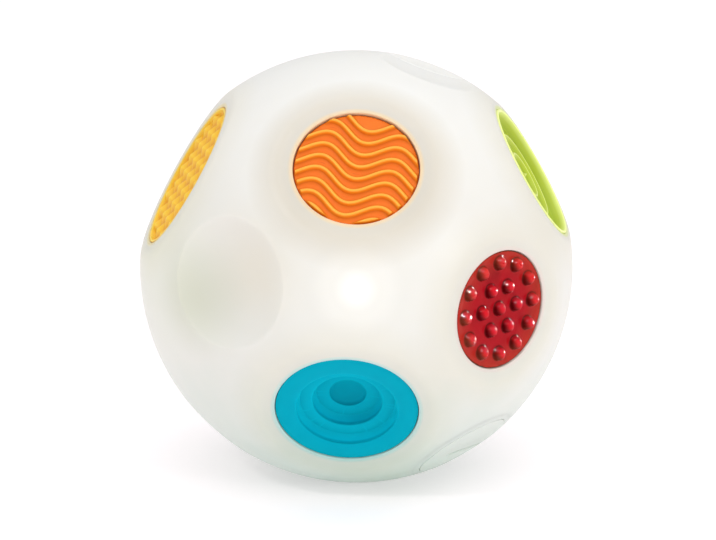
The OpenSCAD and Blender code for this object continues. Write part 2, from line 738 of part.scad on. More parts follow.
module power_slider() color("lightgray") at_place(switch_at) translate([-slider_travel / 2, 0, 0]) {
    block(knob_w, knob_h, recess_floor + slide_gap, recess_floor + slide_gap + knob_t);
    for (i = [-1:1]) translate([i * knob_w / 4, 0, 0])
        block(knob_rib, knob_h, recess_floor + knob_t, recess_floor + slide_gap + knob_t + knob_rib);
    block(stem_w, stem_h, plate_top - plate_t / 2, recess_floor + knob_t);
    block(plate_w, plate_h, plate_top - plate_t, plate_top);
    block(pin_w, pin_w, switch_top - pin_len, plate_top);
}
module slide_switch() color("darkgray") at_place(switch_at) difference() {
    union() {
        block(switch_body_w, switch_body_h, switch_foot, switch_top);
        block(switch_board_w, switch_board_h, switch_foot - board_t, switch_foot);
    }
    block(pin_w + slider_travel + 2 * slide_gap, pin_w + 2 * slide_gap, switch_top - pin_len - slide_gap,
        switch_top + over);
}

module shell_screws() color("silver") at_screws() difference() {
    union() {
        disc(screw_r, pilot_end + over - front_boss_len, head_seat_y + head_t / 2);
        disc(screw_head_r, head_seat_y, head_seat_y + head_t);
    }
    lift(head_seat_y + head_t - socket_depth) cylinder(r = socket_r, h = socket_depth + over, $fn = 6);
}

front_shell();
rear_shell();
orange_wave_pad();
red_nub_pad();
blue_step_pad();
green_ring_pad();
yellow_stud_pad();
orange_pad_retainer();
red_pad_retainer();
blue_pad_retainer();
green_pad_retainer();
yellow_pad_retainer();
orange_return_spring();
red_return_spring();
blue_return_spring();
green_return_spring();
yellow_return_spring();
pad_switches();
battery_cap();
battery_tube();
battery_cells();
battery_end_contact();
battery_cap_contact();
lamp_board();
lamp_leds();
lamp_diffuser();
lamp_board_screws();
main_board();
sound_chip();
roll_sensor();
main_board_screws();
speaker();
speaker_retainer();
power_slider();
slide_switch();
shell_screws();
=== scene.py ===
# Sensory ball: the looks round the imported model. Lengths are in millimetres until a mesh is made.
import bpy
import bmesh
import math
import numpy as np
from mathutils.geometry import delaunay_2d_cdt
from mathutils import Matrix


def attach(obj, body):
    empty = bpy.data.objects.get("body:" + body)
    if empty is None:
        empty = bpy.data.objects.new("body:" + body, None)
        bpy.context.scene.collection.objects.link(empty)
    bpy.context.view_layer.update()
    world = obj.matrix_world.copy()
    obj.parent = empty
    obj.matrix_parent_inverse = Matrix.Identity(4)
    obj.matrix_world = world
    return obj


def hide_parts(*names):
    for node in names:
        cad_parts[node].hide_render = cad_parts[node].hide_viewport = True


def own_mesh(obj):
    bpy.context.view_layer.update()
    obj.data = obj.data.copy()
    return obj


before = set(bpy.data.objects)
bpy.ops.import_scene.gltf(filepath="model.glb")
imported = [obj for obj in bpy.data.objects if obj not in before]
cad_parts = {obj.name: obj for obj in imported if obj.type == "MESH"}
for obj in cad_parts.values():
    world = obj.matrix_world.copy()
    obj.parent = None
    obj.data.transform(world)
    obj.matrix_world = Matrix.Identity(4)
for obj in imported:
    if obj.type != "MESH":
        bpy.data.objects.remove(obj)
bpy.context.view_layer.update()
mm = 0.001  # one millimetre in metres
print("stage: frame loaded,", len(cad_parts), "CAD nodes")

hexRow = 0.866  # distance between rows of evenly set points, as a share of their gap
ball = {
    "radius": 70.0,  # outside of the shells
    "pointGap": 1.7,  # distance between mesh points on the plain ball
    "ringSteps": 160,  # points round each spot
    "wall": 2.2,
    "seamDepth": 0.45,  # the fine groove where the halves meet
    "seamHalf": 0.5,
    "seamCuts": (-1.0, -0.45, 0.45, 1.0, 0.0),  # cuts along the seam, as shares of its half width
    "seamSnap": 0.02,  # a point this near to a cut lies on it
    "seamFloor": 0.2,  # share of the half width that is the groove's floor
    "seamFlank": (0.7, 0.62),  # the same for its flanks, and their share of the depth
    "seamGap": 0.03,  # half of the slit between the halves
    "facetBlend": 0.8,  # softness of a facet's edge
    "dishBlend": 0.3,  # softness of a dish's edge
    "edge": 0.35,  # rounding of the shell's edge at an opening
}
foot = {"radius": 19.0, "inner": 14.5, "depth": 2.0}
footLevel = math.sqrt(ball["radius"] ** 2 - foot["radius"] ** 2)
middle = np.array([0.0, 0.0, footLevel])

# Where the spots sit on the ball: longitude from the front, and latitude, in degrees
spots = {
    "orange": {"at": (0, 36.5), "kind": "pad", "radius": 18.45},
    "red": {"at": (41, -3.5), "kind": "pad", "radius": 17.95},
    "blue": {"at": (-3, -31.5), "kind": "pad", "radius": 21.4},
    "green": {"at": (79, 30), "kind": "pad", "radius": 22.25, "facetWidth": 2.65, "blend": 0.3},
    "yellow": {"at": (-78.5, 30), "kind": "pad", "radius": 24.25},
    "leftDish": {"at": (-34, 4.5), "kind": "dish", "radius": 19.6, "depth": 3.2},
    "topDish": {"at": (69, 69.5), "kind": "dish", "radius": 15.5, "depth": 1.6},
    "lowLeftDish": {"at": (-86, -48), "kind": "dish", "radius": 19.6, "depth": 3.2},
    "rearHighDish": {"at": (180, 33), "kind": "dish", "radius": 19.6, "depth": 3.2},
    "rearRightDish": {"at": (133, 8), "kind": "dish", "radius": 19.6, "depth": 3.2},
    "rearLeftDish": {"at": (-133, 8), "kind": "dish", "radius": 19.6, "depth": 3.2},
    "speakerDish": {"at": (180, -33), "kind": "speaker", "radius": 19.6, "depth": 3.2},
    "foot": {"at": (0, -90), "kind": "foot"},
    "cap": {"at": (49.5, -50), "kind": "cap"},
    "switch": {"at": (180, 0), "kind": "switch"},
}
padFit = {
    "facetWidth": 5.57,  # flat ring of shell round a pad
    "inset": 0.5,  # a pad's rim below that facet
    "gap": 0.16,
    "thick": 3.6,  # a pad's rim down to its flange
    "lipWidth": 1.3,
    "lipThick": 1.2,
    "edge": 0.25,  # rounding of a pad's rim
    "boreDepth": 4.0,
}
screwWells = {"angles": (105, 205, 335), "ring": 58.0, "radius": 3.1, "seat": 9.0, "shank": 1.8,
        "patch": 7.6}


def axesOf(place):
    lon, lat = (math.radians(a) for a in place)
    out = np.array([math.cos(lat) * math.sin(lon), -math.cos(lat) * math.cos(lon), math.sin(lat)])
    right = np.array([math.cos(lon), math.sin(lon), 0.0])
    return np.array([right, np.cross(out, right), out])


def level(r):
    return np.sqrt(ball["radius"] ** 2 - np.asarray(r, float) ** 2)


def smoothMin(a, b, blend):
    h = np.clip(0.5 + 0.5 * (b - a) / blend, 0, 1)
    return b + (a - b) * h - blend * h * (1 - h)


def smoothStep(x, low, high):
    t = np.clip((np.asarray(x, float) - low) / (high - low), 0, 1)
    return t * t * (3 - 2 * t)


def roundCorners(points, radii, steps=6):
    result = []
    for i, point in enumerate(points):
        point = np.array(point, float)
        if i not in radii:
            result.append(point)
            continue
        a, b = np.array(points[i - 1]) - point, np.array(points[i + 1]) - point
        lengthA, lengthB = np.linalg.norm(a), np.linalg.norm(b)
        a, b = a / lengthA, b / lengthB
        half = math.acos(np.clip(a @ b, -1, 1)) / 2
        reach = min(radii[i] / math.tan(half), 0.49 * lengthA, 0.49 * lengthB)
        centre = point + (a + b) / np.linalg.norm(a + b) * reach / math.cos(half)
        start, end = point + a * reach - centre, point + b * reach - centre
        sweep = math.pi - 2 * half
        for step in range(steps + 1):
            t = step / steps
            turned = (math.sin((1 - t) * sweep) * start + math.sin(t * sweep) * end) / math.sin(sweep)
            result.append(centre + turned)
    return result


class Skin:
    # Gathers points and faces in millimetres, in the frame of the ball's middle
    def __init__(self):
        self.points, self.faces, self.values = [], [], []

    def add(self, points, faces, axes=None, values=None):
        start = len(self.points)
        points = np.asarray(points, float)
        world = points @ axes if axes is not None else points
        self.points.extend(world.tolist())
        self.faces.extend([[start + i for i in face] for face in faces])
        self.values.extend(list(values) if values is not None else [0.0] * len(points))
        return start

    def build(self, name, weld=0.002):
        mesh = bpy.data.meshes.new(name)
        mesh.from_pydata(self.points, [], self.faces)
        # Painted light and shade on the pads by height, read by their materials
        shade = mesh.attributes.new("paintedShadeByHeight", "FLOAT", "POINT")
        shade.data.foreach_set("value", self.values)
        work = bmesh.new()
        work.from_mesh(mesh)
        bmesh.ops.remove_doubles(work, verts=work.verts, dist=weld)
        bmesh.ops.dissolve_degenerate(work, edges=work.edges, dist=weld / 4)
        bmesh.ops.recalc_face_normals(work, faces=work.faces)
        work.to_mesh(mesh)
        work.free()
        return mesh


def lathe(profile, steps):
    # profile runs from the outside to the axis as (radius, height)
    points, faces = [], []
    turn = np.arange(steps) * 2 * math.pi / steps
    closed = profile[-1][0] < 1e-6
    rings = profile[:-1] if closed else profile
    for r, z in rings:
        points.extend(np.stack([r * np.cos(turn), r * np.sin(turn), np.full(steps, z)], 1).tolist())
    for k in range(len(rings) - 1):
        a, b = k * steps, (k + 1) * steps
        faces.extend([[a + i, a + (i + 1) % steps, b + (i + 1) % steps, b + i] for i in range(steps)])
    if closed:
        points.append([0.0, 0.0, float(profile[-1][1])])
        last = (len(rings) - 1) * steps
        faces.extend([[last + i, last + (i + 1) % steps, len(points) - 1] for i in range(steps)])
    return points, faces


def circle(radius, steps, centre=(0.0, 0.0)):
    turn = np.arange(steps) * 2 * math.pi / steps
    return np.stack([centre[0] + radius * np.cos(turn), centre[1] + radius * np.sin(turn)], 1)


def roundedRectangle(width, height, radius, grow=0.0, cornerSteps=8):
    loop = []
    halfW, halfH, turn = width / 2 - radius, height / 2 - radius, np.linspace(0, math.pi / 2, cornerSteps)
    for corner, (sx, sy) in enumerate(((1, 1), (-1, 1), (-1, -1), (1, -1))):
        angle = turn + corner * math.pi / 2
        loop.append(np.stack([sx * halfW + (radius + grow) * np.cos(angle),
                sy * halfH + (radius + grow) * np.sin(angle)], 1))
    return np.concatenate(loop)


def hexGrid(radius, gap):
    rows = np.arange(-int(radius / gap / hexRow) - 1, int(radius / gap / hexRow) + 2)
    points = [(gap * (i + 0.5 * (j % 2)), gap * hexRow * j) for j in rows
            for i in range(-int(radius / gap) - 1, int(radius / gap) + 2)]
    points = np.array(points)
    return points[np.hypot(points[:, 0], points[:, 1]) < radius]


def fillFlat(loops, inner, keepInside=False):
    # Triangles over flat points; what a loop beyond the first encloses is left open
    points = np.concatenate(list(loops) + [inner]) if len(inner) else np.concatenate(loops)
    owner = np.concatenate([np.full(len(loop), i) for i, loop in enumerate(loops)]
            + [np.full(len(inner), -1)])
    edges, start = [], 0
    for loop in loops:
        edges.extend([(start + i, start + (i + 1) % len(loop)) for i in range(len(loop))])
        start += len(loop)
    result = delaunay_2d_cdt([tuple(p) for p in points], edges, [], 0, 1e-9)
    order = [source[0] if source else -1 for source in result[3]]
    faces = []
    for face in result[2]:
        face = [order[i] for i in face]
        if min(face) < 0:
            continue
        owners = set(owner[face])
        if not keepInside and len(owners) == 1 and owners.pop() > 0:
            continue
        faces.append(face)
    return points, faces


def strip(loops):
    # Quads between loops of equal length
    count = len(loops[0])
    points = [tuple(p) for loop in loops for p in loop]
    faces = [[k * count + i, k * count + (i + 1) % count,
            (k + 1) * count + (i + 1) % count, (k + 1) * count + i]
            for k in range(len(loops) - 1) for i in range(count)]
    return points, faces


def withHeight(flat, height):
    return np.column_stack([flat, np.broadcast_to(height, len(flat))])


def facetLevel(spot):
    return float(level(spot["radius"] + spot.get("facetWidth", padFit["facetWidth"])))


def dishLevel(r, spot):
    radius, depth = spot["radius"], spot["depth"]
    bowl = (radius ** 2 + depth ** 2) / (2 * depth)
    return float(level(radius)) - depth + bowl - np.sqrt(bowl ** 2 - np.asarray(r, float) ** 2)


def padProfile(spot):
    flat, blend = facetLevel(spot), spot.get("blend", ball["facetBlend"])
    bore = spot["radius"] + padFit["gap"]
    outer = math.sqrt(ball["radius"] ** 2 - (flat - blend) ** 2) + 0.05
    soft = math.sqrt(ball["radius"] ** 2 - (flat + blend) ** 2)
    radii = np.concatenate([np.linspace(outer, soft, 16), np.linspace(soft, bore + 1.2, 4)[1:]])
    profile = [(r, float(smoothMin(level(r), flat, blend))) for r in radii]
    corner = len(profile)
    profile += [(bore, flat), (bore, flat - padFit["boreDepth"])]
    return roundCorners(profile, {corner: ball["edge"]})


def dishProfile(spot, stop=0.0):
    radius = spot["radius"]
    radii = np.concatenate([np.linspace(radius + 1.0, radius - 1.2, 14),
            np.linspace(radius - 1.2, stop, 14)[1:]])
    return [(r, float(smoothMin(level(r), dishLevel(r, spot), ball["dishBlend"]))) for r in radii]


def footProfile():
    radius, inner, depth = foot["radius"], foot["inner"], foot["depth"]
    blend = 0.3
    outer = math.sqrt(ball["radius"] ** 2 - (footLevel - blend) ** 2) + 0.05
    radii = np.linspace(outer, radius - 1.4, 10)
    profile = [(r, float(smoothMin(level(r), footLevel, blend))) for r in radii]
    at = len(profile)
    profile += [(inner, footLevel), (inner - depth, footLevel - depth), (0.0, footLevel - depth)]
    return roundCorners(profile, {at: 0.5, at + 1: 0.8})


capFit = {"radius": 15.35, "gap": 0.15, "seat": 65.73, "ledge": 1.5, "ledgeThick": 1.2, "slot": (17.0, 2.0),
        "slotDepth": 1.3, "edge": 0.5, "skirt": (13.4, 12.0, 3.3)}
capFit["seat"] = float(level(capFit["radius"])) - 2.6


def capProfile():
    bore = capFit["radius"] + capFit["gap"]
    radii = np.linspace(bore + 1.4, bore + 0.7, 3)
    profile = [(r, float(level(r))) for r in radii]
    at = len(profile)
    profile += [(bore, float(level(bore))), (bore, capFit["seat"]),
            (bore - capFit["ledge"] - 0.3, capFit["seat"]),
            (bore - capFit["ledge"] - 0.3, capFit["seat"] - capFit["ledgeThick"])]
    return roundCorners(profile, {at: ball["edge"]})


speakerHoles = {"radius": 1.1, "rings": ((1, 0.0, 0), (6, 4.8, 0), (12, 9.6, 15)), "field": 12.6,
        "edge": 0.2}
recess = {"size": (19.0, 9.0), "corner": 3.0, "depth": 2.6, "floor": 2.2, "slot": (6.8, 3.0), "field": 11.6}


def speakerField(skin, axes, spot):
    steps, radius = ball["ringSteps"], speakerHoles["radius"]
    rim = circle(speakerHoles["field"], steps)
    centres = [(ring * math.cos(math.radians(turn + 360 * i / count)),
            ring * math.sin(math.radians(turn + 360 * i / count)))
            for count, ring, turn in speakerHoles["rings"] for i in range(count)]
    holes = [circle(radius + speakerHoles["edge"], 32, centre) for centre in centres]
    inner = hexGrid(speakerHoles["field"] - 0.7, 1.1)
    clear = np.min([np.hypot(*(inner - centre).T) for centre in centres], 0) > (
        radius + speakerHoles["edge"] + 0.45)
    flat, faces = fillFlat([rim] + holes, inner[clear])
    skin.add(withHeight(flat, dishLevel(np.hypot(*flat.T), spot)), faces, axes)
    for centre in centres:
        loops = []
        for grow, drop in ((speakerHoles["edge"], 0.0), (0.06, 0.05), (0.0, 0.2), (0.0, 1.9)):
            loop = circle(radius + grow, 32, centre)
            base = dishLevel(np.hypot(*circle(radius + speakerHoles["edge"], 32, centre).T), spot)
            loops.append(np.column_stack([loop, base - drop]))
        skin.add(*strip(loops), axes)


def switchField(skin, axes):
    rim = circle(recess["field"], ball["ringSteps"])
    width, height = recess["size"]

    def loopAt(grow, z):
        flat = roundedRectangle(width, height, recess["corner"], grow)
        return np.column_stack([
            flat, level(np.hypot(*flat.T)) - z if z < 1 else np.full(len(flat), ball["radius"] - z)])

    edge = roundedRectangle(width, height, recess["corner"], ball["edge"])
    flat, faces = fillFlat([rim, edge], np.empty((0, 2)))
    skin.add(withHeight(flat, level(np.hypot(*flat.T))), faces, axes)
    depth = recess["depth"]
    loops = [loopAt(ball["edge"], 0.0), loopAt(0.25, 0.07), loopAt(0.07, 0.25), loopAt(0.0, 0.5),
            loopAt(0.0, depth - 0.4), loopAt(-0.12, depth - 0.12), loopAt(-0.4, depth)]
    skin.add(*strip(loops), axes)
    slot = roundedRectangle(recess["slot"][0], recess["slot"][1], 0.4)
    flat, faces = fillFlat([loops[-1][:, :2], slot], np.empty((0, 2)))
    skin.add(withHeight(flat, ball["radius"] - depth), faces, axes)
    skin.add(*strip([withHeight(slot, ball["radius"] - depth),
            withHeight(slot, ball["radius"] - depth - 2.0)]), axes)


def wellField(skin, axes, angle):
    # The loops lie on a cylinder along Y and are turned into the spot's own frame
    centre = screwWells["ring"] * np.array([math.cos(math.radians(angle)), math.sin(math.radians(angle))])

    def loopAt(grow, drop=None, y=None):
        loop = circle(screwWells["radius"] + grow, 48, centre)
        depth = (np.sqrt(ball["radius"] ** 2 - np.sum(loop ** 2, 1)) - (drop or 0) if y is None
                else np.full(48, y))
        return np.column_stack([loop[:, 0], depth, loop[:, 1]]) @ axes.T

    loops = [loopAt(0.35, 0.0), loopAt(0.1, 0.1), loopAt(0.0, 0.4), loopAt(0.0, y=screwWells["seat"]),
            loopAt(screwWells["shank"] - screwWells["radius"], y=screwWells["seat"])]
    rim = circle(screwWells["patch"], 96)
    flat, faces = fillFlat([rim, loops[0][:, :2]], np.empty((0, 2)))
    skin.add(withHeight(flat, level(np.hypot(*flat.T))), faces, axes)
    skin.add(*strip(loops), axes)


def shellSkin():
    skin = Skin()
    rings = []  # (axes, radius, steps) of each spot's circle on the ball
    steps = ball["ringSteps"]
    for spot in spots.values():
        axes, kind = axesOf(spot["at"]), spot["kind"]
        if kind == "switch":
            rings.append((axes, recess["field"], steps))
            switchField(skin, axes)
            continue
        profile = {"pad": padProfile, "dish": dishProfile, "foot": lambda s: footProfile(),
                "cap": lambda s: capProfile(),
                "speaker": lambda s: dishProfile(s, speakerHoles["field"])}[kind](spot)
        skin.add(*lathe(profile, steps), axes)
        rings.append((axes, profile[0][0], steps))
        if kind == "speaker":
            speakerField(skin, axes, spot)
    for angle in screwWells["angles"]:
        x, z = (screwWells["ring"] * f(math.radians(angle)) for f in (math.cos, math.sin))
        y = math.sqrt(ball["radius"] ** 2 - x * x - z * z)
        place = (math.degrees(math.atan2(x, -y)), math.degrees(math.asin(z / ball["radius"])))
        axes = axesOf(place)
        rings.append((axes, screwWells["patch"], 96))
        wellField(skin, axes, angle)
    # The plain ball between the spots, as even points joined on a stereographic map seen from the foot
    gap, radius = ball["pointGap"], ball["radius"]
    count = int(4 * math.pi * radius ** 2 / (hexRow * gap ** 2))
    index = np.arange(count) + 0.5
    z, turn = 1 - 2 * index / count, index * math.pi * (1 + math.sqrt(5))
    sphere = np.stack([np.sqrt(1 - z * z) * np.cos(turn), np.sqrt(1 - z * z) * np.sin(turn), z], 1)
    for axes, r, n in rings:
        sphere = sphere[sphere @ axes[2] < math.cos(math.asin(r / radius) + 0.6 * gap / radius)]
    loops = [np.column_stack([circle(r, n), np.full(n, float(level(r)))]) @ axes / radius
            for axes, r, n in rings]
    every = np.concatenate(loops + [sphere])
    owner = np.concatenate([np.full(len(loop), i) for i, loop in enumerate(loops)]
            + [np.full(len(sphere), -1)])
    flat = every[:, :2] / (1 + every[:, 2:])
    result = delaunay_2d_cdt([tuple(p) for p in flat], [], [], 0, 1e-9)
    faces = []
    for face in result[2]:
        face = [result[3][i][0] for i in face]
        owners = set(owner[face])
        if len(owners) > 1 or owners == {-1}:
            faces.append(face)
    skin.add(every * radius, faces)
    return skin


def addPiece(name, mesh, material, body, nodes):
    # Turns a mesh in millimetres about the ball's middle into a piece in the frame
    points = np.empty(len(mesh.vertices) * 3)
    mesh.vertices.foreach_get("co", points)
    points = (points.reshape(-1, 3) + middle) * mm
    mesh.vertices.foreach_set("co", points.ravel())
    mesh.materials.append(material)
    mesh.polygons.foreach_set("use_smooth", [True] * len(mesh.polygons))
    mesh.set_sharp_from_angle(angle=math.radians(42))
    mesh.update()
    piece = bpy.data.objects.new(name, mesh)
    bpy.context.scene.collection.objects.link(piece)
    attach(piece, body)
    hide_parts(*nodes)
    return piece


body = {
    "post": (2.6, 2.5),  # radius and length of the stem under a pad
    "steps": 200,
}


def padSide(spot, top, back):
    # From the rim over the flange to the back and its post
    r, edge = spot["radius"], padFit["edge"]
    face = facetLevel(spot) - padFit["inset"]
    low, foot_ = face - padFit["thick"], face - padFit["thick"] - padFit["lipThick"]
    wide, post = r + padFit["lipWidth"], body["post"]
    corner = [(r - edge, top), (r, top), (r, low), (wide, low), (wide, foot_)]
    return roundCorners(corner + back(foot_, post), {1: edge, 3: 0.25, 4: 0.25}, 5)


def plainBack(foot_, post):
    return [(post[0], foot_), (post[0], foot_ - post[1]), (0.0, foot_ - post[1])]


def lifted(value):
    # The material reads 0 as a pad's side, 0.12 as its floor and 1 as its crests; the side is painted dark
    # as shade in the gap, the crests painted light
    return 0.12 + 0.88 * np.clip(value, 0, 1)


def padTop(skin, axes, rim, flat, height, loops=()):
    faceLoop = circle(rim, body["steps"])
    points, faces = fillFlat([faceLoop] + list(loops), flat)
    z, value = height(points)
    skin.add(withHeight(points, z), faces, axes, lifted(value))


waves = {"length": 21.0, "pitch": 4.1, "swing": 2.6, "height": 1.4, "tilt": -15.5, "rows": 4,
        "crest": 0.2, "foot": 0.92, "shift": -1.0}


def orangePad():
    spot, skin = spots["orange"], Skin()
    axes, r = axesOf(spot["at"]), spot["radius"]
    floor = facetLevel(spot) - padFit["inset"] - waves["height"] / 2
    tilt = math.radians(waves["tilt"])
    turn = np.array([[math.cos(tilt), math.sin(tilt)], [-math.sin(tilt), math.cos(tilt)]])
    k = 2 * math.pi / waves["length"]

    def offset(points):
        # Distance across the nearest rib's centre line
        xi, eta = (points @ turn.T).T
        base = eta - waves["shift"] + waves["swing"] * np.cos(k * xi)
        row = np.clip(np.round(base / waves["pitch"]), -waves["rows"], waves["rows"])
        slope = waves["swing"] * k * np.sin(k * xi)
        return (base - row * waves["pitch"]) / np.sqrt(1 + slope ** 2)

    def height(points):
        v = np.abs(offset(points))
        ridge = (0.78 * (1 - smoothStep(v, waves["crest"], waves["foot"]))
                + 0.22 * (1 - smoothStep(v, 0.4, 2.0)))
        fade = 1 - smoothStep(np.hypot(*points.T), r - 0.6, r - 0.28)
        # The second value paints the ribs lighter towards their crests
        return floor + waves["height"] * ridge * fade, ridge * fade

    spread = np.array([-1.9, -1.5, -1.15, -0.92, -0.78, -0.63, -0.48, -0.34, -0.2, 0,
            0.2, 0.34, 0.48, 0.63, 0.78, 0.92, 1.15, 1.5, 1.9])
    xi = np.arange(-r, r, 0.42)
    slope = np.sqrt(1 + (waves["swing"] * k * np.sin(k * xi)) ** 2)
    grid = []
    for row in range(-waves["rows"] - 1, waves["rows"] + 2):
        for v in spread:
            shift = v * slope
            keep = np.abs(shift) < waves["pitch"] / 2 - 0.02
            eta = waves["shift"] + row * waves["pitch"] - waves["swing"] * np.cos(k * xi) + shift
            grid.append(np.column_stack([xi, eta])[keep])
    grid = np.concatenate(grid) @ turn
    grid = grid[np.hypot(*grid.T) < r - 0.7]
    rings = [circle(q, 260) for q in (r - 0.6, r - 0.48, r - 0.36)]
    padTop(skin, axes, r - padFit["edge"], np.concatenate([grid] + rings), height)
    skin.add(*lathe(padSide(spot, floor, plainBack), body["steps"]), axes)
    return skin.build("orangeWavePad")


# Painted shade on the nubs: shadeFrom is the side that stays dark, footShade the painted value low on each
# nub
nubs = {"height": 2.4, "ring": 7.05, "turn": 4.0, "shift": (-0.4, 0.3), "shadeFrom": (-0.5, -0.86),
        "footShade": 0.43,
        "profile": ((2.75, 0.0), (2.45, 0.03), (2.25, 0.13), (2.12, 0.3), (2.03, 0.55), (1.96, 0.86),
        (1.86, 1.2),
        (1.7, 1.53), (1.47, 1.84), (1.18, 2.09), (0.81, 2.27), (0.4, 2.37), (0.0, 2.4))}


def redPad():
    spot, skin = spots["red"], Skin()
    axes, r = axesOf(spot["at"]), spot["radius"]
    face = facetLevel(spot) - padFit["inset"]

    def floorAt(points):
        q = np.hypot(*np.asarray(points).T)
        return face - 0.35 * (1 - smoothStep(q, r - 2.6, r - 0.6))

    centres = [nubs["shift"]] + [(n * nubs["ring"] * math.cos(a) + nubs["shift"][0],
            n * nubs["ring"] * math.sin(a) + nubs["shift"][1]) for n in (1, 2)
            for a in np.radians(nubs["turn"] + np.arange(6 * n) * 60 / n)]
    outer = nubs["profile"][0][0]
    loops = [circle(outer, 32, centre) for centre in centres]
    inner = hexGrid(r - 0.9, 0.7)
    clear = np.min([np.hypot(*(inner - centre).T) for centre in centres], 0) > outer + 0.3
    inner = np.concatenate([inner[clear]] + [circle(r - inset, 220) for inset in (0.33, 0.5)])
    padTop(skin, axes, r - padFit["edge"], inner, lambda p: (floorAt(p), np.zeros(len(p))), loops)
    for centre in centres:
        points, faces = lathe(nubs["profile"], 32)
        points = np.array(points)
        # Painted shade: each nub's flanks are dark, and its lower side stays dark further up
        away = points[:, :2] @ np.array(nubs["shadeFrom"]) / np.maximum(np.hypot(*points[:, :2].T), 0.3)
        climb = np.clip(points[:, 2] / nubs["height"], 0, 1)
        share = nubs["footShade"] * smoothStep(climb, 0, 0.1)
        share += (1 - nubs["footShade"]) * climb ** np.clip(1.3 + 6.0 * away, 0.35, 7.0)
        base = floorAt(points[:, :2]
                * (outer / np.maximum(np.hypot(points[:, 0], points[:, 1]), 1e-6))[:, None]
                * (np.hypot(points[:, 0], points[:, 1]) > 1e-6)[:, None] + centre)
        points[:, :2] += centre
        points[:, 2] += base
        skin.add(points, faces, axes, lifted(share))
    skin.add(*lathe(padSide(spot, face, plainBack), body["steps"]), axes)
    return skin.build("redNubPad")


steps = {"shares": (0.71, 0.49, 0.26), "drop": 3.5, "dimple": 2.1, "wall": 1.4, "cove": 1.1}


def cove(high, low, radius, reach, count=9):
    # A riser that is steep at its edge and runs out softly on the tread inside it
    turn = np.linspace(0, math.pi / 2, count)
    return [(radius - reach * (1 - math.cos(a)), high - (high - low) * math.sin(a)) for a in turn]


def bluePad():
    spot, skin = spots["blue"], Skin()
    axes, r, drop = axesOf(spot["at"]), spot["radius"], steps["drop"]
    face = facetLevel(spot) - padFit["inset"]
    a, b, c = (share * r for share in steps["shares"])
    low, wall, edge = face - 2 * drop, steps["wall"], padFit["edge"]
    under = face - padFit["thick"] - padFit["lipThick"]
    back = face - 2 * drop - steps["dimple"] - wall
    wide = r + padFit["lipWidth"]
    bowl = [(c * math.sin(t), low - steps["dimple"] * math.cos(t)) for t in np.linspace(math.pi / 2, 0, 12)]
    outer = [(r, face - 1.2), (r, face), (a + 0.3, face)] + cove(face - 0.25, low + drop, a, steps["cove"])
    inner = ([(b + 0.3, low + drop)] + cove(low + drop - 0.25, low, b, steps["cove"])
            + [(c + 0.25, low)] + bowl)
    profile = roundCorners([(r, face - 1.2)] + outer[1:], {1: edge}) + inner
    side = [(r, face - padFit["thick"]), (wide, face - padFit["thick"]), (wide, under), (a + wall, under),
            (b + wall, face - drop - wall - padFit["lipThick"]), (b + wall, low - wall),
            (c + wall, low - wall), (c + wall, back),
            (body["post"][0], back), (body["post"][0], back - body["post"][1]),
            (0.0, back - body["post"][1])]
    points, faces = lathe(profile, body["steps"])
    points = np.array(points)
    q = np.hypot(points[:, 0], points[:, 1])
    values = np.where(q > a, 0.75, 0.85)
    # Painted shade: darkest just below the edge of each riser and on its lower side; elsewhere the walls are
    # painted lighter, as light through the thin wall, and the treads a little lighter than the outer face
    lower = np.clip(-points[:, 1] / np.maximum(q, 0.1), 0, 1) * 0.75 + 0.15
    for radius, top, reach in ((a, face, 1.5), (b, low + drop, 1.5), (c, low, 1.0)):
        wallShade = (1 - smoothStep(top - points[:, 2], 0.1, reach)) * lower
        values = np.where((q <= radius + 0.05) & (q > radius - steps["cove"]) & (points[:, 2] < top - 0.02),
                1 - wallShade, values)
    # Painted shade in the dimple
    values[q < c + 0.05] *= 0.7
    skin.add(points, faces, axes, np.where((q > r - edge / 2), 0.0, lifted(values)))
    skin.add(*lathe([profile[0]] + side, body["steps"]), axes)
    return skin.build("blueStepPad")


cup = {"shares": (0.91, 0.64, 0.34), "lip": 0.75, "floor": 3.0, "ridge": 1.6, "half": 1.3}


def greenPad():
    spot, skin = spots["green"], Skin()
    axes, r = axesOf(spot["at"]), spot["radius"]
    face = facetLevel(spot) - padFit["inset"]
    a, b, c = (share * r for share in cup["shares"])
    floor, w = face - cup["floor"], cup["half"]
    top = [(r, face + cup["lip"]), (r - 0.9, face + cup["lip"]), (a, floor)]
    soft = {0: 0.4, 1: 0.45, 2: 0.8}
    for q in (b, c):
        soft.update({len(top): 0.5, len(top) + 1: 0.45, len(top) + 2: 0.5})
        top += [(q + w, floor), (q, floor + cup["ridge"]), (q - w, floor)]
    soft.update({len(top): 0.5})
    top += [(w, floor), (0.0, floor + cup["ridge"])]
    profile = roundCorners([(r, face - 1.5)] + top, {i + 1: v for i, v in soft.items()}, 6)
    points, faces = lathe(profile, body["steps"])
    points = np.array(points)
    q = np.hypot(points[:, 0], points[:, 1])
    # Painted highlight: the crests of the rings and the rim are painted pale
    crest = smoothStep(points[:, 2], floor + 0.55 * cup["ridge"], floor + 0.95 * cup["ridge"])
    values = np.where(q < b + w + 0.2, crest, smoothStep(q, r - 1.25, r - 0.9))
    skin.add(points, faces, axes, lifted(values))
    low, under, wide = (face - padFit["thick"], face - padFit["thick"] - padFit["lipThick"],
            r + padFit["lipWidth"])
    skin.add(*lathe([(r, face - 1.5), (r, low), (wide, low), (wide, under)]
            + plainBack(under, body["post"]), body["steps"]), axes)
    return skin.build("greenRingPad")


studs = {"pitch": 7.0, "side": 6.6, "height": 2.0, "sunk": 1.6, "rim": 0.9, "lip": 0.35, "turn": 45.0,
        "sample": 0.35}


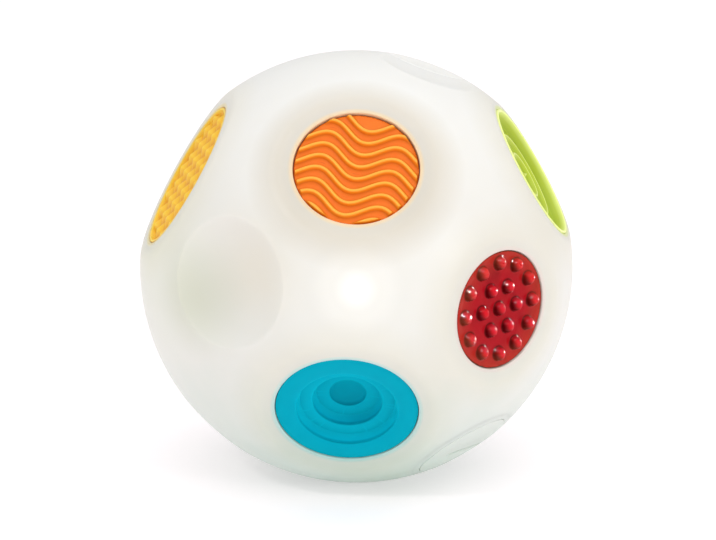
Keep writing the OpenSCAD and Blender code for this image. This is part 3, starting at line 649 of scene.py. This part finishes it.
def yellowPad():
    spot, skin = spots["yellow"], Skin()
    axes, r = axesOf(spot["at"]), spot["radius"]
    face = facetLevel(spot) - padFit["inset"]
    turn = math.radians(studs["turn"])
    toGrid = np.array([[math.cos(turn), math.sin(turn)], [-math.sin(turn), math.cos(turn)]])

    def height(points):
        u, v = (points @ toGrid.T).T
        cell = studs["pitch"]
        u, v = u - np.round(u / cell) * cell, v - np.round(v / cell) * cell
        # Painted shade on the flank that faces down and forward
        shaded = smoothStep(-v - np.abs(u), -0.15, 0.3)
        u, v = np.abs(u), np.abs(v)
        nearer = -smoothMin(-u, -v, 0.18)
        h = studs["height"] * (1 - nearer / (studs["side"] / 2))
        q = np.hypot(*points.T)
        h = smoothMin(h, (r - studs["rim"] - q) * 1.8, 0.3)
        h = -smoothMin(-h, np.zeros(len(h)), 0.16)
        h = smoothMin(h, np.full(len(h), studs["height"] - 0.1), 0.25)
        # A plain rim frames the pyramids
        rim = smoothStep(q, r - studs["rim"] - 0.35, r - studs["rim"])
        # Painted light: the tips and the rim take the palest colours
        share = np.clip(h / studs["height"], 0, 1)
        share = share * (1 - shaded) + 0.9 * share ** 1.4 * shaded
        return face - studs["sunk"] * (1 - rim) + (h + studs["lip"] * rim), np.clip(share + rim, 0, 1)

    count = int(r / studs["sample"]) + 2
    u, v = np.meshgrid(*[np.arange(-count, count + 1) * studs["sample"]] * 2)
    grid = np.column_stack([u.ravel(), v.ravel()]) @ toGrid
    grid = np.concatenate([grid[np.hypot(*grid.T) < r - 1.3]]
            + [circle(r - inset, 300) for inset in (0.45, 0.75, 0.95, 1.15)])
    padTop(skin, axes, r - padFit["edge"], grid, height)
    top = float(height(np.array([[r - padFit["edge"], 0.0]]))[0][0])
    skin.add(*lathe(padSide(spot, top, plainBack), body["steps"]), axes)
    return skin.build("yellowStudPad")


capParts = {"skirt": (13.4, 1.4, 3.3), "lug": (15.05, 7.0, 1.2), "ledge": 1.3}


def batteryCap():
    spot, skin = spots["cap"], Skin()
    axes, r, seat, edge = axesOf(spot["at"]), capFit["radius"], capFit["seat"], capFit["edge"]
    rim = circle(r - edge, body["steps"])
    length, width = capFit["slot"]
    slotLoop = roundedRectangle(length, width, 0.6, 0.25)
    flat, faces = fillFlat([rim, slotLoop], np.empty((0, 2)))
    skin.add(withHeight(flat, level(np.hypot(*flat.T))), faces, axes)
    floor = float(level(length / 2)) - capFit["slotDepth"]
    loops = [withHeight(slotLoop, level(np.hypot(*slotLoop.T)))]
    for grow, drop in ((0.08, 0.07), (0.0, 0.25)):
        loop = roundedRectangle(length, width, 0.6, grow)
        loops.append(withHeight(loop, level(np.hypot(*loop.T)) - drop))
    loops.append(withHeight(loops[-1][:, :2], floor))
    skin.add(*strip(loops), axes)
    skin.add(*[loops[-1], [list(range(len(loops[-1])))]], axes)
    skirt, wall, long = capParts["skirt"]
    profile = [(r - edge, float(level(r - edge))), (r, float(level(r)) + 0.08), (r, seat),
            (skirt, seat), (skirt, seat - long),
            (skirt - wall, seat - long), (skirt - wall, seat), (0.0, seat)]
    skin.add(*lathe(roundCorners(profile, {1: edge, 2: 0.3, 4: 0.2, 5: 0.2}, 5), body["steps"]), axes)
    return skin.build("batteryCap")


# Colours and materials

def hexColour(text):
    # An sRGB hex colour as linear values
    parts = [int(text[i:i + 2], 16) / 255 for i in (1, 3, 5)]
    return tuple(c / 12.92 if c <= 0.04045 else ((c + 0.055) / 1.055) ** 2.4 for c in parts) + (1.0,)


def addNode(tree, kind, sockets=None, stops=(), **settings):
    # One node with its settings, the values and links of its sockets, and the stops of its ramp
    node = tree.nodes.new("ShaderNode" + kind)
    for key, value in settings.items():
        setattr(node, key, value)
    for key, value in (sockets or {}).items():
        if isinstance(value, bpy.types.NodeSocket):
            tree.links.new(value, node.inputs[key])
        else:
            node.inputs[key].default_value = value
    for index, (position, text) in enumerate(stops):
        elements = node.color_ramp.elements
        element = elements[index] if index < 2 else elements.new(position)
        element.position, element.color = position, hexColour(text)
    return node


def newMaterial(name):
    material = bpy.data.materials.new(name)
    material.use_nodes = True
    tree = material.node_tree
    tree.nodes.clear()
    return material, tree


def blotches(tree, place, size, detail, low, high):
    # Soft noise whose blotches are size millimetres across, as it is and spread from low to high
    noise = addNode(tree, "TexNoise", {"Vector": place, "Scale": 1 / (size * mm), "Detail": detail})
    spread = addNode(tree, "MapRange", {
        "Value": noise.outputs["Fac"], "From Min": 0.3, "From Max": 0.7, "To Min": low, "To Max": high})
    return noise.outputs["Fac"], spread.outputs[0]


def fromAxis(tree, place, spot):
    # How far a point is from a spot's axis, and whether it is on the spot's side of the ball
    out = tuple(axesOf(spot["at"])[2])
    away = addNode(tree, "VectorMath", {0: place, 1: tuple(middle * mm)}, operation="SUBTRACT").outputs[0]
    across = addNode(tree, "VectorMath", {0: away, 1: out}, operation="CROSS_PRODUCT").outputs[0]
    radius = addNode(tree, "VectorMath", {0: across}, operation="LENGTH").outputs["Value"]
    height = addNode(tree, "VectorMath", {0: away, 1: out}, operation="DOT_PRODUCT").outputs["Value"]
    return radius, addNode(tree, "Math", {0: height, 1: 0.0}, operation="GREATER_THAN").outputs[0]


def nearness(tree, place, spot, reach):
    # Distance from a spot's middle on the ball's skin, as a share of reach
    near = tuple((axesOf(spot)[2] * ball["radius"] + middle) * mm)
    away = addNode(tree, "VectorMath", {0: place, 1: near}, operation="DISTANCE").outputs["Value"]
    return addNode(tree, "Math", {0: away, 1: reach * mm}, operation="DIVIDE").outputs[0]


def finishSurface(tree, look, grain, rough, sockets):
    # The grain stands up a little under the shader, which breaks the shine
    bump = addNode(tree, "Bump", {
        "Height": grain, "Strength": look["bump"], "Distance": look["bumpDepth"] * mm})
    shader = addNode(tree, "BsdfPrincipled", {"Roughness": rough, "Normal": bump.outputs[0], **sockets})
    addNode(tree, "OutputMaterial", {"Surface": shader.outputs[0]})


# Painted light: the lamp inside is given as a soft warm emission on the shell itself
glow = {
    "at": (0.0, 5.0),  # where the lamp shines through the shell
    "reach": 30.0,
    "stops": ((0.0, "#ffffff"), (0.25, "#a6a4a0"), (0.5, "#797772"), (1.0, "#4a4945")),
    "strength": 0.28,
}
shellLook = {
    # Painted shade: the shell's colour by height, darker and greener towards the bottom
    "stops": ((0.0, "#bccec4"), (0.16, "#d0d8d0"), (0.36, "#dfdfd8"), (0.7, "#e1dfd8"), (1.0, "#e8e7e3")),
    "height": 132.6,  # height over the floor that the last of these stops stands for
    "cloud": (14.0, 0.03),  # size of the soft blotches in the milky wall, and how far they shift the colour
    # Painted shade on the flat ring round each pad
    "facet": "#fbf9f3",
    "paintedWarmFacetShade": "#ebe6de",  # painted shade on the flat round the orange pad, warmer than round the others
    # Painted light: the colour each pad seems to shed into the wall round it
    "paintedHalo": {"orange": "#ffe6c0", "red": "#fff2ee", "blue": "#d6f4f4", "green": "#f6ffb4",
        "yellow": "#ffedb8"},
    "haloReach": 14.0,
    "haloEnds": (0.05, 0.12, 0.35),  # shares of it: end of the pad's painted colour, then start and end of the flat's painted shade
    # Painted soft shade patches, as of the parts inside seen through the wall: longitude and latitude, reach
    # and colour
    "paintedShades": (((-44.0, 0.0), 23.0, "#ebede4"), ((-27.0, 8.0), 22.0, "#fbf7ef"),
        ((-64.0, 8.0), 42.0, "#fbfef7"), ((20.0, -62.0), 24.0, "#eef4ee")),
    "grain": 0.35,
    "roughness": (0.34, 0.4),
    "bump": 0.02,
    "bumpDepth": 0.05,
}


def paintLightAndShadeNear(tree, place, colour):
    # Painted light and shade: colour that each pad seems to send into the wall round it, the painted shade
    # of its flat, and painted shade patches as of parts inside
    haloEnd, flatStart, flatEnd = shellLook["haloEnds"]
    for name, paintedHalo in shellLook["paintedHalo"].items():
        spot, flat = spots[name], shellLook["paintedWarmFacetShade"] if name == "orange" else shellLook["facet"]
        radius, side = fromAxis(tree, place, spot)
        share = addNode(tree, "MapRange", {
            "Value": radius, "From Min": spot["radius"] * mm,
            "From Max": (spot["radius"] + shellLook["haloReach"]) * mm}).outputs[0]
        stops = ((0.0, paintedHalo), (haloEnd, paintedHalo), (flatStart, flat), (flatEnd, flat), (1.0, "#ffffff"))
        tint = addNode(tree, "ValToRGB", {"Fac": share}, stops).outputs["Color"]
        colour = addNode(tree, "Mix", {0: side, 6: colour, 7: tint},
                data_type="RGBA", blend_type="MULTIPLY").outputs[2]
    # Each painted shade patch darkens the wall softly round its place
    for spot, reach, shade in shellLook["paintedShades"]:
        ramp = addNode(tree, "ValToRGB", {"Fac": nearness(tree, place, spot, reach)},
                ((0.0, shade), (1.0, "#ffffff")))
        ramp.color_ramp.interpolation = "EASE"
        colour = addNode(tree, "Mix", {0: 1.0, 6: colour, 7: ramp.outputs["Color"]},
                data_type="RGBA", blend_type="MULTIPLY").outputs[2]
    return colour


def shellMaterial():
    # Milky polypropylene off a satin tool: light sinks in, and the lamp inside is painted on as a soft warm
    # spot of emission
    material, tree = newMaterial("satin moulded milky polypropylene")
    place = addNode(tree, "TexCoord").outputs["Object"]
    light = addNode(tree, "ValToRGB", {"Fac": nearness(tree, place, glow["at"], glow["reach"])},
            glow["stops"])
    light.color_ramp.interpolation = "EASE"
    grain, rough = blotches(tree, place, shellLook["grain"], 3.0, *shellLook["roughness"])
    size, shift = shellLook["cloud"]
    cloud = blotches(tree, place, size, 2.0, -shift, shift)[1]
    # Painted shade by height: darker and greener low on the ball
    high = addNode(tree, "SeparateXYZ", {"Vector": place}).outputs["Z"]
    high = addNode(tree, "Math", {0: high, 1: 1 / (shellLook["height"] * mm), 2: cloud},
            operation="MULTIPLY_ADD").outputs[0]
    base = addNode(tree, "ValToRGB", {"Fac": high}, shellLook["stops"]).outputs["Color"]
    finishSurface(tree, shellLook, grain, rough, {
        "Base Color": paintLightAndShadeNear(tree, place, base), "IOR": 1.49, "Specular IOR Level": 0.35,
        "Subsurface Weight": 0.35, "Subsurface Radius": (5.0, 4.6, 4.0), "Subsurface Scale": mm,
        "Emission Color": light.outputs["Color"], "Emission Strength": glow["strength"]})
    return material


# One look per pad: painted light and shade by how far a point stands up from the floor, then the surface
padGrain = {"size": 0.3, "bumpDepth": 0.05, "cloud": (6.0, 0.015)}
padLooks = {
    "orange": {  # painted light on the thin crests of the ribs, painted soft shade at their feet
        "name": "satin moulded orange silicone",
        "stops": ((0.0, "#b4500e"), (0.08, "#c8600e"), (0.12, "#f07a22"), (0.32, "#d66e12"),
            (0.7, "#ee8c1c"), (1.0, "#ffaf44")),
        "roughness": (0.36, 0.46), "bump": 0.03, "specular": 0.2, "subsurface": (0.25, (2.2, 0.9, 0.3)),
    },
    "red": {  # polished tool: small sharp glints on the nubs; painted shade darkens their flanks where they meet the floor, and their tops are painted lighter
        "name": "gloss moulded red silicone",
        "stops": ((0.0, "#5c0608"), (0.08, "#6c080b"), (0.12, "#ae0817"), (0.24, "#80060d"),
            (0.5, "#560308"), (0.75, "#a01019"), (1.0, "#cc1824")),
        "roughness": (0.05, 0.09), "bump": 0.005, "specular": 0.1, "subsurface": (0.3, (3.2, 0.5, 0.4)),
        "rim": (10.0, 17.8, 0.75, "#54321a"),  # painted light through the edge: from, to, share and tint
    },
    "blue": {  # matt, so that the steps of the crater read by their shade, helped by painted shade on the risers and in the dimple
        "name": "matt moulded blue silicone",
        "stops": ((0.0, "#046a78"), (0.08, "#04788a"), (0.12, "#028294"), (0.4, "#0297aa"),
            (0.75, "#02a1b8"), (1.0, "#06b8ce")),
        "roughness": (0.5, 0.6), "bump": 0.03, "specular": 0.02, "subsurface": (0.5, (0.8, 3.0, 3.6)),
    },
    "green": {  # the rings and rim stand up and are painted pale, as lines of caught light
        "name": "satin moulded lime silicone",
        "stops": ((0.0, "#9db52e"), (0.08, "#b4cc3c"), (0.12, "#a9bc2e"), (0.5, "#bccc42"),
            (1.0, "#f4ffa0")),
        "roughness": (0.3, 0.4), "bump": 0.03, "specular": 0.3, "subsurface": (0.25, (1.8, 2.0, 0.4)),
    },
    "yellow": {  # pyramids' tips are painted lighter, as warm light through them
        "name": "satin moulded yellow silicone",
        "stops": ((0.0, "#c8922a"), (0.08, "#dca432"), (0.12, "#dc9630"), (0.4, "#edb838"), (0.7, "#f2c642"),
        (1.0, "#f6d256")),
        "roughness": (0.36, 0.46), "bump": 0.03, "specular": 0.2, "subsurface": (0.3, (2.2, 1.4, 0.3)),
    },
}


def padMaterial(colour):
    # Pigmented rubber: thin crests are painted lighter than the floor, as light passing through them, and a
    # fine grain breaks the shine
    look, (size, shift) = padLooks[colour], padGrain["cloud"]
    material, tree = newMaterial(look["name"])
    place = addNode(tree, "TexCoord").outputs["Object"]
    paintedShadeByHeight = addNode(tree, "Attribute", attribute_name="paintedShadeByHeight").outputs["Fac"]
    grain, rough = blotches(tree, place, padGrain["size"], 3.0, *look["roughness"])
    cloud = blotches(tree, place, size, 2.0, -shift, shift)[1]
    share = addNode(tree, "Math", {0: paintedShadeByHeight, 1: cloud}, operation="ADD").outputs[0]
    base = addNode(tree, "ValToRGB", {"Fac": share}, look["stops"]).outputs["Color"]
    if "rim" in look:
        start, end, most, tint = look["rim"]
        outward = addNode(tree, "MapRange", {
            "Value": fromAxis(tree, place, spots[colour])[0], "From Min": start * mm, "From Max": end * mm,
            "To Max": most}, interpolation_type="SMOOTHSTEP").outputs[0]
        lit = addNode(tree, "Mix", {0: 1.0, 6: base, 7: hexColour(tint)},
                data_type="RGBA", blend_type="SCREEN").outputs[2]
        base = addNode(tree, "Mix", {0: outward, 6: base, 7: lit}, data_type="RGBA").outputs[2]
    weight, radius = look["subsurface"]
    finishSurface(tree, {**look, **padGrain}, grain, rough, {
        "Base Color": base, "IOR": 1.46, "Specular IOR Level": look["specular"],
        "Subsurface Weight": weight, "Subsurface Radius": radius, "Subsurface Scale": mm})
    return material


# Parts inside: words of their nodes' names, two colours, roughness, metal share, grain size and bump.
# A node wears the first look that has a word of its name.
innerLooks = {
    # Bright and cool, with a faint bloom from the plating bath
    "zinc plated steel": (("contact", "screws"), ("#b4b6b4", "#cfd0cc"), (0.25, 0.45), 1.0, 0.6, 0.05),
    # Warm white with a broad soft shine
    "moulded white acrylonitrile": (("pad_retainer", "battery_tube", "speaker_retainer"),
        ("#d9d7cf", "#e6e4dc"), (0.38, 0.5), 0.0, 0.5, 0.05),
    # Grey and a little waxy
    "moulded grey polyamide": (("power_slider",), ("#b9bab8", "#c9cac8"), (0.4, 0.55), 0.0, 0.4, 0.06),
    # Near black and dull, with a fine filler grain
    "black moulded phenolic": (("pad_switches", "sound_chip", "speaker", "slide_switch"),
        ("#151516", "#222224"), (0.45, 0.6), 0.0, 0.3, 0.08),
    # Smooth bright wire with faint draw marks
    "drawn spring steel": (("return_spring",), ("#9a9ca0", "#b8babd"), (0.22, 0.4), 1.0, 0.15, 0.04),
    # Dark film with an even shine
    "printed shrink jacket": (("battery_cells",), ("#2b2d30", "#3a3d41"), (0.3, 0.42), 0.0, 1.2, 0.04),
    # Green lacquer over a woven board, slightly uneven
    "solder masked fibreglass": (("lamp_board", "main_board"), ("#1f5a37", "#2d7448"),
        (0.3, 0.5), 0.0, 0.9, 0.12),
    # Clear pale drops with a hard shine
    "clear cast epoxy": (("lamp_leds",), ("#f1efe0", "#fbfaf0"), (0.08, 0.14), 0.0, 1.0, 0.01),
    # Milky and shineless, so that the lamps blur into one spot
    "frosted moulded acrylic": (("lamp_diffuser",), ("#eceae2", "#f7f5ee"), (0.55, 0.7), 0.0, 0.25, 0.08),
    # Warm yellow metal, drawn smooth
    "drawn brass": (("roll_sensor",), ("#b08d45", "#caa65a"), (0.24, 0.4), 1.0, 0.5, 0.04),
}
innerBumpDepth = 0.1


def innerMaterial(name, look):
    words, colours, roughness, metal, size, bump = look
    material, tree = newMaterial(name)
    place = addNode(tree, "TexCoord").outputs["Object"]
    grain, rough = blotches(tree, place, size, 3.0, *roughness)
    base = addNode(tree, "ValToRGB", {"Fac": grain}, ((0.3, colours[0]), (0.7, colours[1])))
    finishSurface(tree, {"bump": bump, "bumpDepth": innerBumpDepth}, grain, rough, {
        "Base Color": base.outputs["Color"], "Metallic": metal})
    return material


def dressInside():
    made = {name: innerMaterial(name, look) for name, look in innerLooks.items()}
    for node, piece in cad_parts.items():
        names = [name for name, look in innerLooks.items() if any(word in node for word in look[0])]
        if names:
            piece.data.materials.clear()
            piece.data.materials.append(made[names[0]])
    return made


coil = {"radius": 6.2, "wire": 0.45, "turns": 4.0, "flatEnds": 0.6, "travel": 1.5}


def returnSpring(colour, steel):
    # Stands where its CAD node does, with flat end turns
    axes, node = axesOf(spots[colour]["at"]), colour + "_return_spring"
    points = np.array([vert.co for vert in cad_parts[node].data.vertices]) / mm - middle
    low, high = (points @ axes[2]).min(), (points @ axes[2]).max()
    wire, last, loops = coil["wire"], coil["turns"], []
    for turn in np.linspace(0, last, int(last * 36) + 1):
        rise = np.interp(turn, (0, coil["flatEnds"], last - coil["flatEnds"], last),
                (low + wire, low + wire, high - wire, high - wire))
        ring = circle(wire, 10) if 0 < turn < last else circle(wire / 500, 10)
        across, angle = coil["radius"] + ring[:, 0], 2 * math.pi * turn
        loops.append(np.column_stack([across * math.cos(angle), across * math.sin(angle),
                rise + ring[:, 1]]))
    loops[1:1], loops[-1:-1] = ([loops[0] + (loops[1] - loops[0]) * 0.999],
            [loops[-1] + (loops[-2] - loops[-1]) * 0.999])
    skin = Skin()
    skin.add(*strip(loops), axes)
    piece = addPiece(colour + "ReturnSpring", skin.build("returnSpring", 0.005), steel, "ball", [node])
    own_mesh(piece)


def splitShell(mesh):
    # Seam groove, then the two halves as closed walls
    halves = []
    half, depth, slit, (flank, flankDepth) = (ball["seam" + key] for key in ("Half", "Depth", "Gap",
            "Flank"))
    work = bmesh.new()
    work.from_mesh(mesh)
    for share in ball["seamCuts"]:
        geometry = list(work.verts) + list(work.edges) + list(work.faces)
        bmesh.ops.bisect_plane(work, geom=geometry, dist=ball["seamSnap"], plane_co=(0, share * half, 0),
                plane_no=(0, 1, 0))
    for vert in work.verts:
        away = abs(vert.co.y)
        if away < half * flank:
            push = depth if away < half * ball["seamFloor"] else depth * flankDepth
            vert.co -= vert.co.normalized() * push
    for side in (-1, 1):
        part = work.copy()
        far = [face for face in part.faces if face.calc_center_median().y * side < 0]
        bmesh.ops.delete(part, geom=far, context="FACES")
        for vert in part.verts:
            if abs(vert.co.y) < slit:
                vert.co.y = side * slit
        result = bpy.data.meshes.new("shellHalf")
        part.to_mesh(result)
        part.free()
        halves.append(result)
    work.free()
    return halves


def makeShell(material):
    mesh = shellSkin().build("shellSkin", 0.01)
    print("stage: shell skin,", len(mesh.vertices), "points")
    for half, name, node in zip(splitShell(mesh), ("frontShell", "rearShell"),
            ("front_shell", "rear_shell")):
        piece = addPiece(name, half, material, "ball", [node])
        wall = piece.modifiers.new("wall", "SOLIDIFY")
        wall.thickness = ball["wall"] * mm
        wall.offset = -1


shellPlastic = shellMaterial()
makeShell(shellPlastic)
print("stage: shell")
padParts = {"orange": (orangePad, "orange_wave_pad"), "red": (redPad, "red_nub_pad"),
        "blue": (bluePad, "blue_step_pad"),
        "green": (greenPad, "green_ring_pad"), "yellow": (yellowPad, "yellow_stud_pad")}
for colour, (maker, node) in padParts.items():
    addPiece(colour + "Pad", maker(), padMaterial(colour), colour + "_button", [node])
    print("stage:", colour, "pad")
addPiece("batteryCapLid", batteryCap(), shellPlastic, "cap", ["battery_cap"])
innerMade = dressInside()
for colour in padParts:
    returnSpring(colour, innerMade["drawn spring steel"])
print("stage: cap and inside")

studio = {
    "backdrop": 1.05,  # brightness of the paper behind, as the camera sees it
    "daylight": 0.62,  # brightness of the same paper as a light
    "floor": ("#e3dfe1", 0.465),
    "lights": {
        "key": {"from": (-420, -520, 620), "size": (150, 70), "power": 0.95},
        "fill": {"from": (560, -520, 260), "size": (90, 90), "power": 0.85},
    },
    "glints": {  # cards that only the glossy pads mirror
        "strip": {"from": (-250, -550, 840), "size": (420, 120), "power": 120.0},
        "round": {"from": (800, 480, 130), "size": (170, 170), "power": 32.0},
    },
    "glossy": ("redPad",),
    "overhead": {"tilt": (-14, -8), "angle": 75, "strength": 1.2},
}
view = {"distance": 560.0, "elevation": 10.5, "lens": 86.32, "shift": (1.7 / 716, -3.7 / 716)}


def areaLight(name, look, only=None):
    data = bpy.data.lights.new(name, "AREA")
    data.shape = "RECTANGLE"
    data.size, data.size_y = (side * mm for side in look["size"])
    data.energy = look["power"]
    lamp = bpy.data.objects.new(name, data)
    bpy.context.scene.collection.objects.link(lamp)
    place = np.array(look["from"], float)
    lamp.location = (place * mm).tolist()
    lamp.rotation_euler = direction(place - middle)
    if only:
        lamp.visible_diffuse = False
        lamp.light_linking.receiver_collection = only


def direction(away):
    from mathutils import Vector
    return Vector(away.tolist()).to_track_quat("Z", "Y").to_euler()


def makeStage():
    mesh = bpy.data.meshes.new("floor")
    half = 4.0
    mesh.from_pydata([(-half, -half, 0), (half, -half, 0), (half, half, 0), (-half, half, 0)], [],
            [(0, 1, 2, 3)])
    floor = bpy.data.objects.new("floor", mesh)
    bpy.context.scene.collection.objects.link(floor)
    # Seamless paper: flat and pale, so that only the contact shadow shows
    material, tree = newMaterial("matt white background paper")
    tone, lift = studio["floor"]
    shader = addNode(tree, "BsdfPrincipled", {
        "Base Color": hexColour(tone), "Roughness": 0.9, "Specular IOR Level": 0.1,
        "Emission Color": hexColour(tone), "Emission Strength": lift})
    addNode(tree, "OutputMaterial", {"Surface": shader.outputs[0]})
    mesh.materials.append(material)
    world = bpy.data.worlds.new("studio")
    bpy.context.scene.world = world
    world.use_nodes = True
    tree = world.node_tree
    tree.nodes.clear()
    seen = addNode(tree, "LightPath").outputs["Is Camera Ray"]
    strength = addNode(tree, "MapRange", {
        "Value": seen, "To Min": studio["daylight"], "To Max": studio["backdrop"]}).outputs[0]
    background = addNode(tree, "Background", {"Color": hexColour("#ffffff"), "Strength": strength})
    addNode(tree, "OutputWorld", {"Surface": background.outputs[0]})
    for name, look in studio["lights"].items():
        areaLight(name, look)
    only = bpy.data.collections.new("glossyPads")
    for name in studio["glossy"]:
        only.objects.link(bpy.data.objects[name])
    for name, look in studio["glints"].items():
        areaLight(name, look, only)
    look = studio["overhead"]
    data = bpy.data.lights.new("overhead", "SUN")
    data.angle, data.energy = math.radians(look["angle"]), look["strength"]
    lamp = bpy.data.objects.new("overhead", data)
    bpy.context.scene.collection.objects.link(lamp)
    lamp.rotation_euler = [-math.radians(turn) for turn in look["tilt"]] + [0.0]
    data = bpy.data.cameras.new("camera")
    data.lens, (data.shift_x, data.shift_y) = view["lens"], view["shift"]
    data.clip_start = 0.01
    camera = bpy.data.objects.new("camera", data)
    bpy.context.scene.collection.objects.link(camera)
    tilt = math.radians(view["elevation"])
    away = view["distance"] * np.array([0, -math.cos(tilt), math.sin(tilt)])
    camera.location = ((middle + away) * mm).tolist()
    camera.rotation_euler = direction(away)
    bpy.context.scene.camera = camera
    bpy.context.scene.view_settings.view_transform = "Standard"


makeStage()
print("stage: camera and lights")
